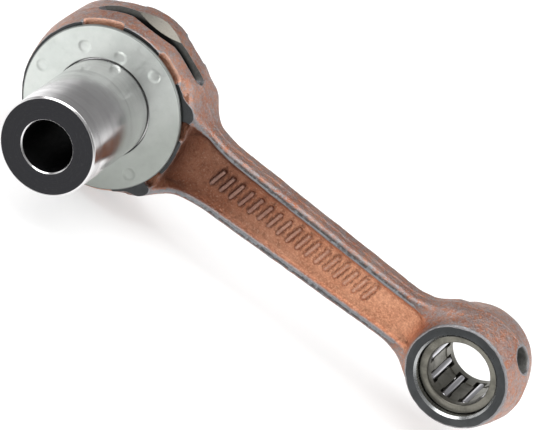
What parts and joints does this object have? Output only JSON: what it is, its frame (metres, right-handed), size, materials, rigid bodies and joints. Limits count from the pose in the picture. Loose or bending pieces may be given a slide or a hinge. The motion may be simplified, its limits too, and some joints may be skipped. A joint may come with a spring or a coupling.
{
  "type": "connecting rod",
  "caption": "Forged I-beam connecting rod of a small two-stroke engine, with its hollow crank pin, thrust washers and caged needle bearings at both ends.",
  "frame": {"origin": "centre of the big end, on the crank pin's axis and on the rod's mid-plane", "axes": "+X from the big end to the small end; Y along the crank pin, whose long end points to -Y; +Z across the rod, so that it lies on its edge"},
  "size_m": [0.1293, 0.052, 0.0398],
  "materials": {
    "forged_rod": "copper-plated forging with bare ground faces",
    "ground_pin": "ground and polished",
    "plated_washer": "matt silver plate",
    "big_cage": "phosphated steel",
    "small_cage": "phosphated steel",
    "needle": "polished"
  },
  "bodies": {
    "rod": {"connecting_rod": "forged_rod"},
    "crank_pin": {"crank_pin": "ground_pin"},
    "front_thrust_washer": {"front_thrust_washer": "plated_washer"},
    "rear_thrust_washer": {"rear_thrust_washer": "plated_washer"},
    "big_end_cage": {"big_end_cage": "big_cage"},
    "small_end_cage": {"small_end_cage": "small_cage"},
    "big_end_needle_01": {"big_end_needle_01": "needle"},
    "big_end_needle_02": {"big_end_needle_02": "needle"},
    "big_end_needle_03": {"big_end_needle_03": "needle"},
    "big_end_needle_04": {"big_end_needle_04": "needle"},
    "big_end_needle_05": {"big_end_needle_05": "needle"},
    "big_end_needle_06": {"big_end_needle_06": "needle"},
    "big_end_needle_07": {"big_end_needle_07": "needle"},
    "big_end_needle_08": {"big_end_needle_08": "needle"},
    "big_end_needle_09": {"big_end_needle_09": "needle"},
    "big_end_needle_10": {"big_end_needle_10": "needle"},
    "big_end_needle_11": {"big_end_needle_11": "needle"},
    "big_end_needle_12": {"big_end_needle_12": "needle"},
    "big_end_needle_13": {"big_end_needle_13": "needle"},
    "big_end_needle_14": {"big_end_needle_14": "needle"},
    "small_end_needle_01": {"small_end_needle_01": "needle"},
    "small_end_needle_02": {"small_end_needle_02": "needle"},
    "small_end_needle_03": {"small_end_needle_03": "needle"},
    "small_end_needle_04": {"small_end_needle_04": "needle"},
    "small_end_needle_05": {"small_end_needle_05": "needle"},
    "small_end_needle_06": {"small_end_needle_06": "needle"},
    "small_end_needle_07": {"small_end_needle_07": "needle"},
    "small_end_needle_08": {"small_end_needle_08": "needle"},
    "small_end_needle_09": {"small_end_needle_09": "needle"},
    "small_end_needle_10": {"small_end_needle_10": "needle"}
  },
  "joints": [
    {"name": "crank_pin_spin", "type": "hinge", "parent": "rod", "child": "crank_pin", "pos_m": [0, 0, 0], "axis": [0, 1, 0], "continuous": true},
    {"name": "big_end_cage_spin", "type": "hinge", "parent": "rod", "child": "big_end_cage", "pos_m": [0, 0, 0], "axis": [0, 1, 0], "continuous": true},
    {"name": "front_washer_spin", "type": "hinge", "parent": "rod", "child": "front_thrust_washer", "pos_m": [0, 0, 0], "axis": [0, 1, 0], "continuous": true},
    {"name": "rear_washer_spin", "type": "hinge", "parent": "rod", "child": "rear_thrust_washer", "pos_m": [0, 0, 0], "axis": [0, 1, 0], "continuous": true},
    {"name": "small_end_cage_spin", "type": "hinge", "parent": "rod", "child": "small_end_cage", "pos_m": [0.0955, 0.002, 0], "axis": [0, 1, 0], "continuous": true},
    {"name": "big_end_needle_01_spin", "type": "hinge", "parent": "big_end_cage", "child": "big_end_needle_01", "pos_m": [0.01275, 0, 0], "axis": [0, 1, 0], "continuous": true},
    {"name": "big_end_needle_02_spin", "type": "hinge", "parent": "big_end_cage", "child": "big_end_needle_02", "pos_m": [0.01149, 0, 0.00553], "axis": [0, 1, 0], "continuous": true},
    {"name": "big_end_needle_03_spin", "type": "hinge", "parent": "big_end_cage", "child": "big_end_needle_03", "pos_m": [0.00795, 0, 0.00997], "axis": [0, 1, 0], "continuous": true},
    {"name": "big_end_needle_04_spin", "type": "hinge", "parent": "big_end_cage", "child": "big_end_needle_04", "pos_m": [0.00284, 0, 0.01243], "axis": [0, 1, 0], "continuous": true},
    {"name": "big_end_needle_05_spin", "type": "hinge", "parent": "big_end_cage", "child": "big_end_needle_05", "pos_m": [-0.00284, 0, 0.01243], "axis": [0, 1, 0], "continuous": true},
    {"name": "big_end_needle_06_spin", "type": "hinge", "parent": "big_end_cage", "child": "big_end_needle_06", "pos_m": [-0.00795, 0, 0.00997], "axis": [0, 1, 0], "continuous": true},
    {"name": "big_end_needle_07_spin", "type": "hinge", "parent": "big_end_cage", "child": "big_end_needle_07", "pos_m": [-0.01149, 0, 0.00553], "axis": [0, 1, 0], "continuous": true},
    {"name": "big_end_needle_08_spin", "type": "hinge", "parent": "big_end_cage", "child": "big_end_needle_08", "pos_m": [-0.01275, 0, 0], "axis": [0, 1, 0], "continuous": true},
    {"name": "big_end_needle_09_spin", "type": "hinge", "parent": "big_end_cage", "child": "big_end_needle_09", "pos_m": [-0.01149, 0, -0.00553], "axis": [0, 1, 0], "continuous": true},
    {"name": "big_end_needle_10_spin", "type": "hinge", "parent": "big_end_cage", "child": "big_end_needle_10", "pos_m": [-0.00795, 0, -0.00997], "axis": [0, 1, 0], "continuous": true},
    {"name": "big_end_needle_11_spin", "type": "hinge", "parent": "big_end_cage", "child": "big_end_needle_11", "pos_m": [-0.00284, 0, -0.01243], "axis": [0, 1, 0], "continuous": true},
    {"name": "big_end_needle_12_spin", "type": "hinge", "parent": "big_end_cage", "child": "big_end_needle_12", "pos_m": [0.00284, 0, -0.01243], "axis": [0, 1, 0], "continuous": true},
    {"name": "big_end_needle_13_spin", "type": "hinge", "parent": "big_end_cage", "child": "big_end_needle_13", "pos_m": [0.00795, 0, -0.00997], "axis": [0, 1, 0], "continuous": true},
    {"name": "big_end_needle_14_spin", "type": "hinge", "parent": "big_end_cage", "child": "big_end_needle_14", "pos_m": [0.01149, 0, -0.00553], "axis": [0, 1, 0], "continuous": true},
    {"name": "small_end_needle_01_spin", "type": "hinge", "parent": "small_end_cage", "child": "small_end_needle_01", "pos_m": [0.10302, 0.002, -0.00274], "axis": [0, 1, 0], "continuous": true},
    {"name": "small_end_needle_02_spin", "type": "hinge", "parent": "small_end_cage", "child": "small_end_needle_02", "pos_m": [0.10319, 0.002, 0.00221], "axis": [0, 1, 0], "continuous": true},
    {"name": "small_end_needle_03_spin", "type": "hinge", "parent": "small_end_cage", "child": "small_end_needle_03", "pos_m": [0.10043, 0.002, 0.0063], "axis": [0, 1, 0], "continuous": true},
    {"name": "small_end_needle_04_spin", "type": "hinge", "parent": "small_end_cage", "child": "small_end_needle_04", "pos_m": [0.09578, 0.002, 0.008], "axis": [0, 1, 0], "continuous": true},
    {"name": "small_end_needle_05_spin", "type": "hinge", "parent": "small_end_cage", "child": "small_end_needle_05", "pos_m": [0.09103, 0.002, 0.00663], "axis": [0, 1, 0], "continuous": true},
    {"name": "small_end_needle_06_spin", "type": "hinge", "parent": "small_end_cage", "child": "small_end_needle_06", "pos_m": [0.08798, 0.002, 0.00274], "axis": [0, 1, 0], "continuous": true},
    {"name": "small_end_needle_07_spin", "type": "hinge", "parent": "small_end_cage", "child": "small_end_needle_07", "pos_m": [0.08781, 0.002, -0.00221], "axis": [0, 1, 0], "continuous": true},
    {"name": "small_end_needle_08_spin", "type": "hinge", "parent": "small_end_cage", "child": "small_end_needle_08", "pos_m": [0.09057, 0.002, -0.0063], "axis": [0, 1, 0], "continuous": true},
    {"name": "small_end_needle_09_spin", "type": "hinge", "parent": "small_end_cage", "child": "small_end_needle_09", "pos_m": [0.09522, 0.002, -0.008], "axis": [0, 1, 0], "continuous": true},
    {"name": "small_end_needle_10_spin", "type": "hinge", "parent": "small_end_cage", "child": "small_end_needle_10", "pos_m": [0.09997, 0.002, -0.00663], "axis": [0, 1, 0], "continuous": true}
  ],
  "couplings": [
    {"joint": "big_end_cage_spin", "follows": "crank_pin_spin", "ratio": 0.43137},
    {"joint": "big_end_needle_01_spin", "follows": "crank_pin_spin", "ratio": -3.5742},
    {"joint": "big_end_needle_02_spin", "follows": "crank_pin_spin", "ratio": -3.5742},
    {"joint": "big_end_needle_03_spin", "follows": "crank_pin_spin", "ratio": -3.5742},
    {"joint": "big_end_needle_04_spin", "follows": "crank_pin_spin", "ratio": -3.5742},
    {"joint": "big_end_needle_05_spin", "follows": "crank_pin_spin", "ratio": -3.5742},
    {"joint": "big_end_needle_06_spin", "follows": "crank_pin_spin", "ratio": -3.5742},
    {"joint": "big_end_needle_07_spin", "follows": "crank_pin_spin", "ratio": -3.5742},
    {"joint": "big_end_needle_08_spin", "follows": "crank_pin_spin", "ratio": -3.5742},
    {"joint": "big_end_needle_09_spin", "follows": "crank_pin_spin", "ratio": -3.5742},
    {"joint": "big_end_needle_10_spin", "follows": "crank_pin_spin", "ratio": -3.5742},
    {"joint": "big_end_needle_11_spin", "follows": "crank_pin_spin", "ratio": -3.5742},
    {"joint": "big_end_needle_12_spin", "follows": "crank_pin_spin", "ratio": -3.5742},
    {"joint": "big_end_needle_13_spin", "follows": "crank_pin_spin", "ratio": -3.5742},
    {"joint": "big_end_needle_14_spin", "follows": "crank_pin_spin", "ratio": -3.5742},
    {"joint": "small_end_needle_01_spin", "follows": "small_end_cage_spin", "ratio": -9},
    {"joint": "small_end_needle_02_spin", "follows": "small_end_cage_spin", "ratio": -9},
    {"joint": "small_end_needle_03_spin", "follows": "small_end_cage_spin", "ratio": -9},
    {"joint": "small_end_needle_04_spin", "follows": "small_end_cage_spin", "ratio": -9},
    {"joint": "small_end_needle_05_spin", "follows": "small_end_cage_spin", "ratio": -9},
    {"joint": "small_end_needle_06_spin", "follows": "small_end_cage_spin", "ratio": -9},
    {"joint": "small_end_needle_07_spin", "follows": "small_end_cage_spin", "ratio": -9},
    {"joint": "small_end_needle_08_spin", "follows": "small_end_cage_spin", "ratio": -9},
    {"joint": "small_end_needle_09_spin", "follows": "small_end_cage_spin", "ratio": -9},
    {"joint": "small_end_needle_10_spin", "follows": "small_end_cage_spin", "ratio": -9}
  ]
}
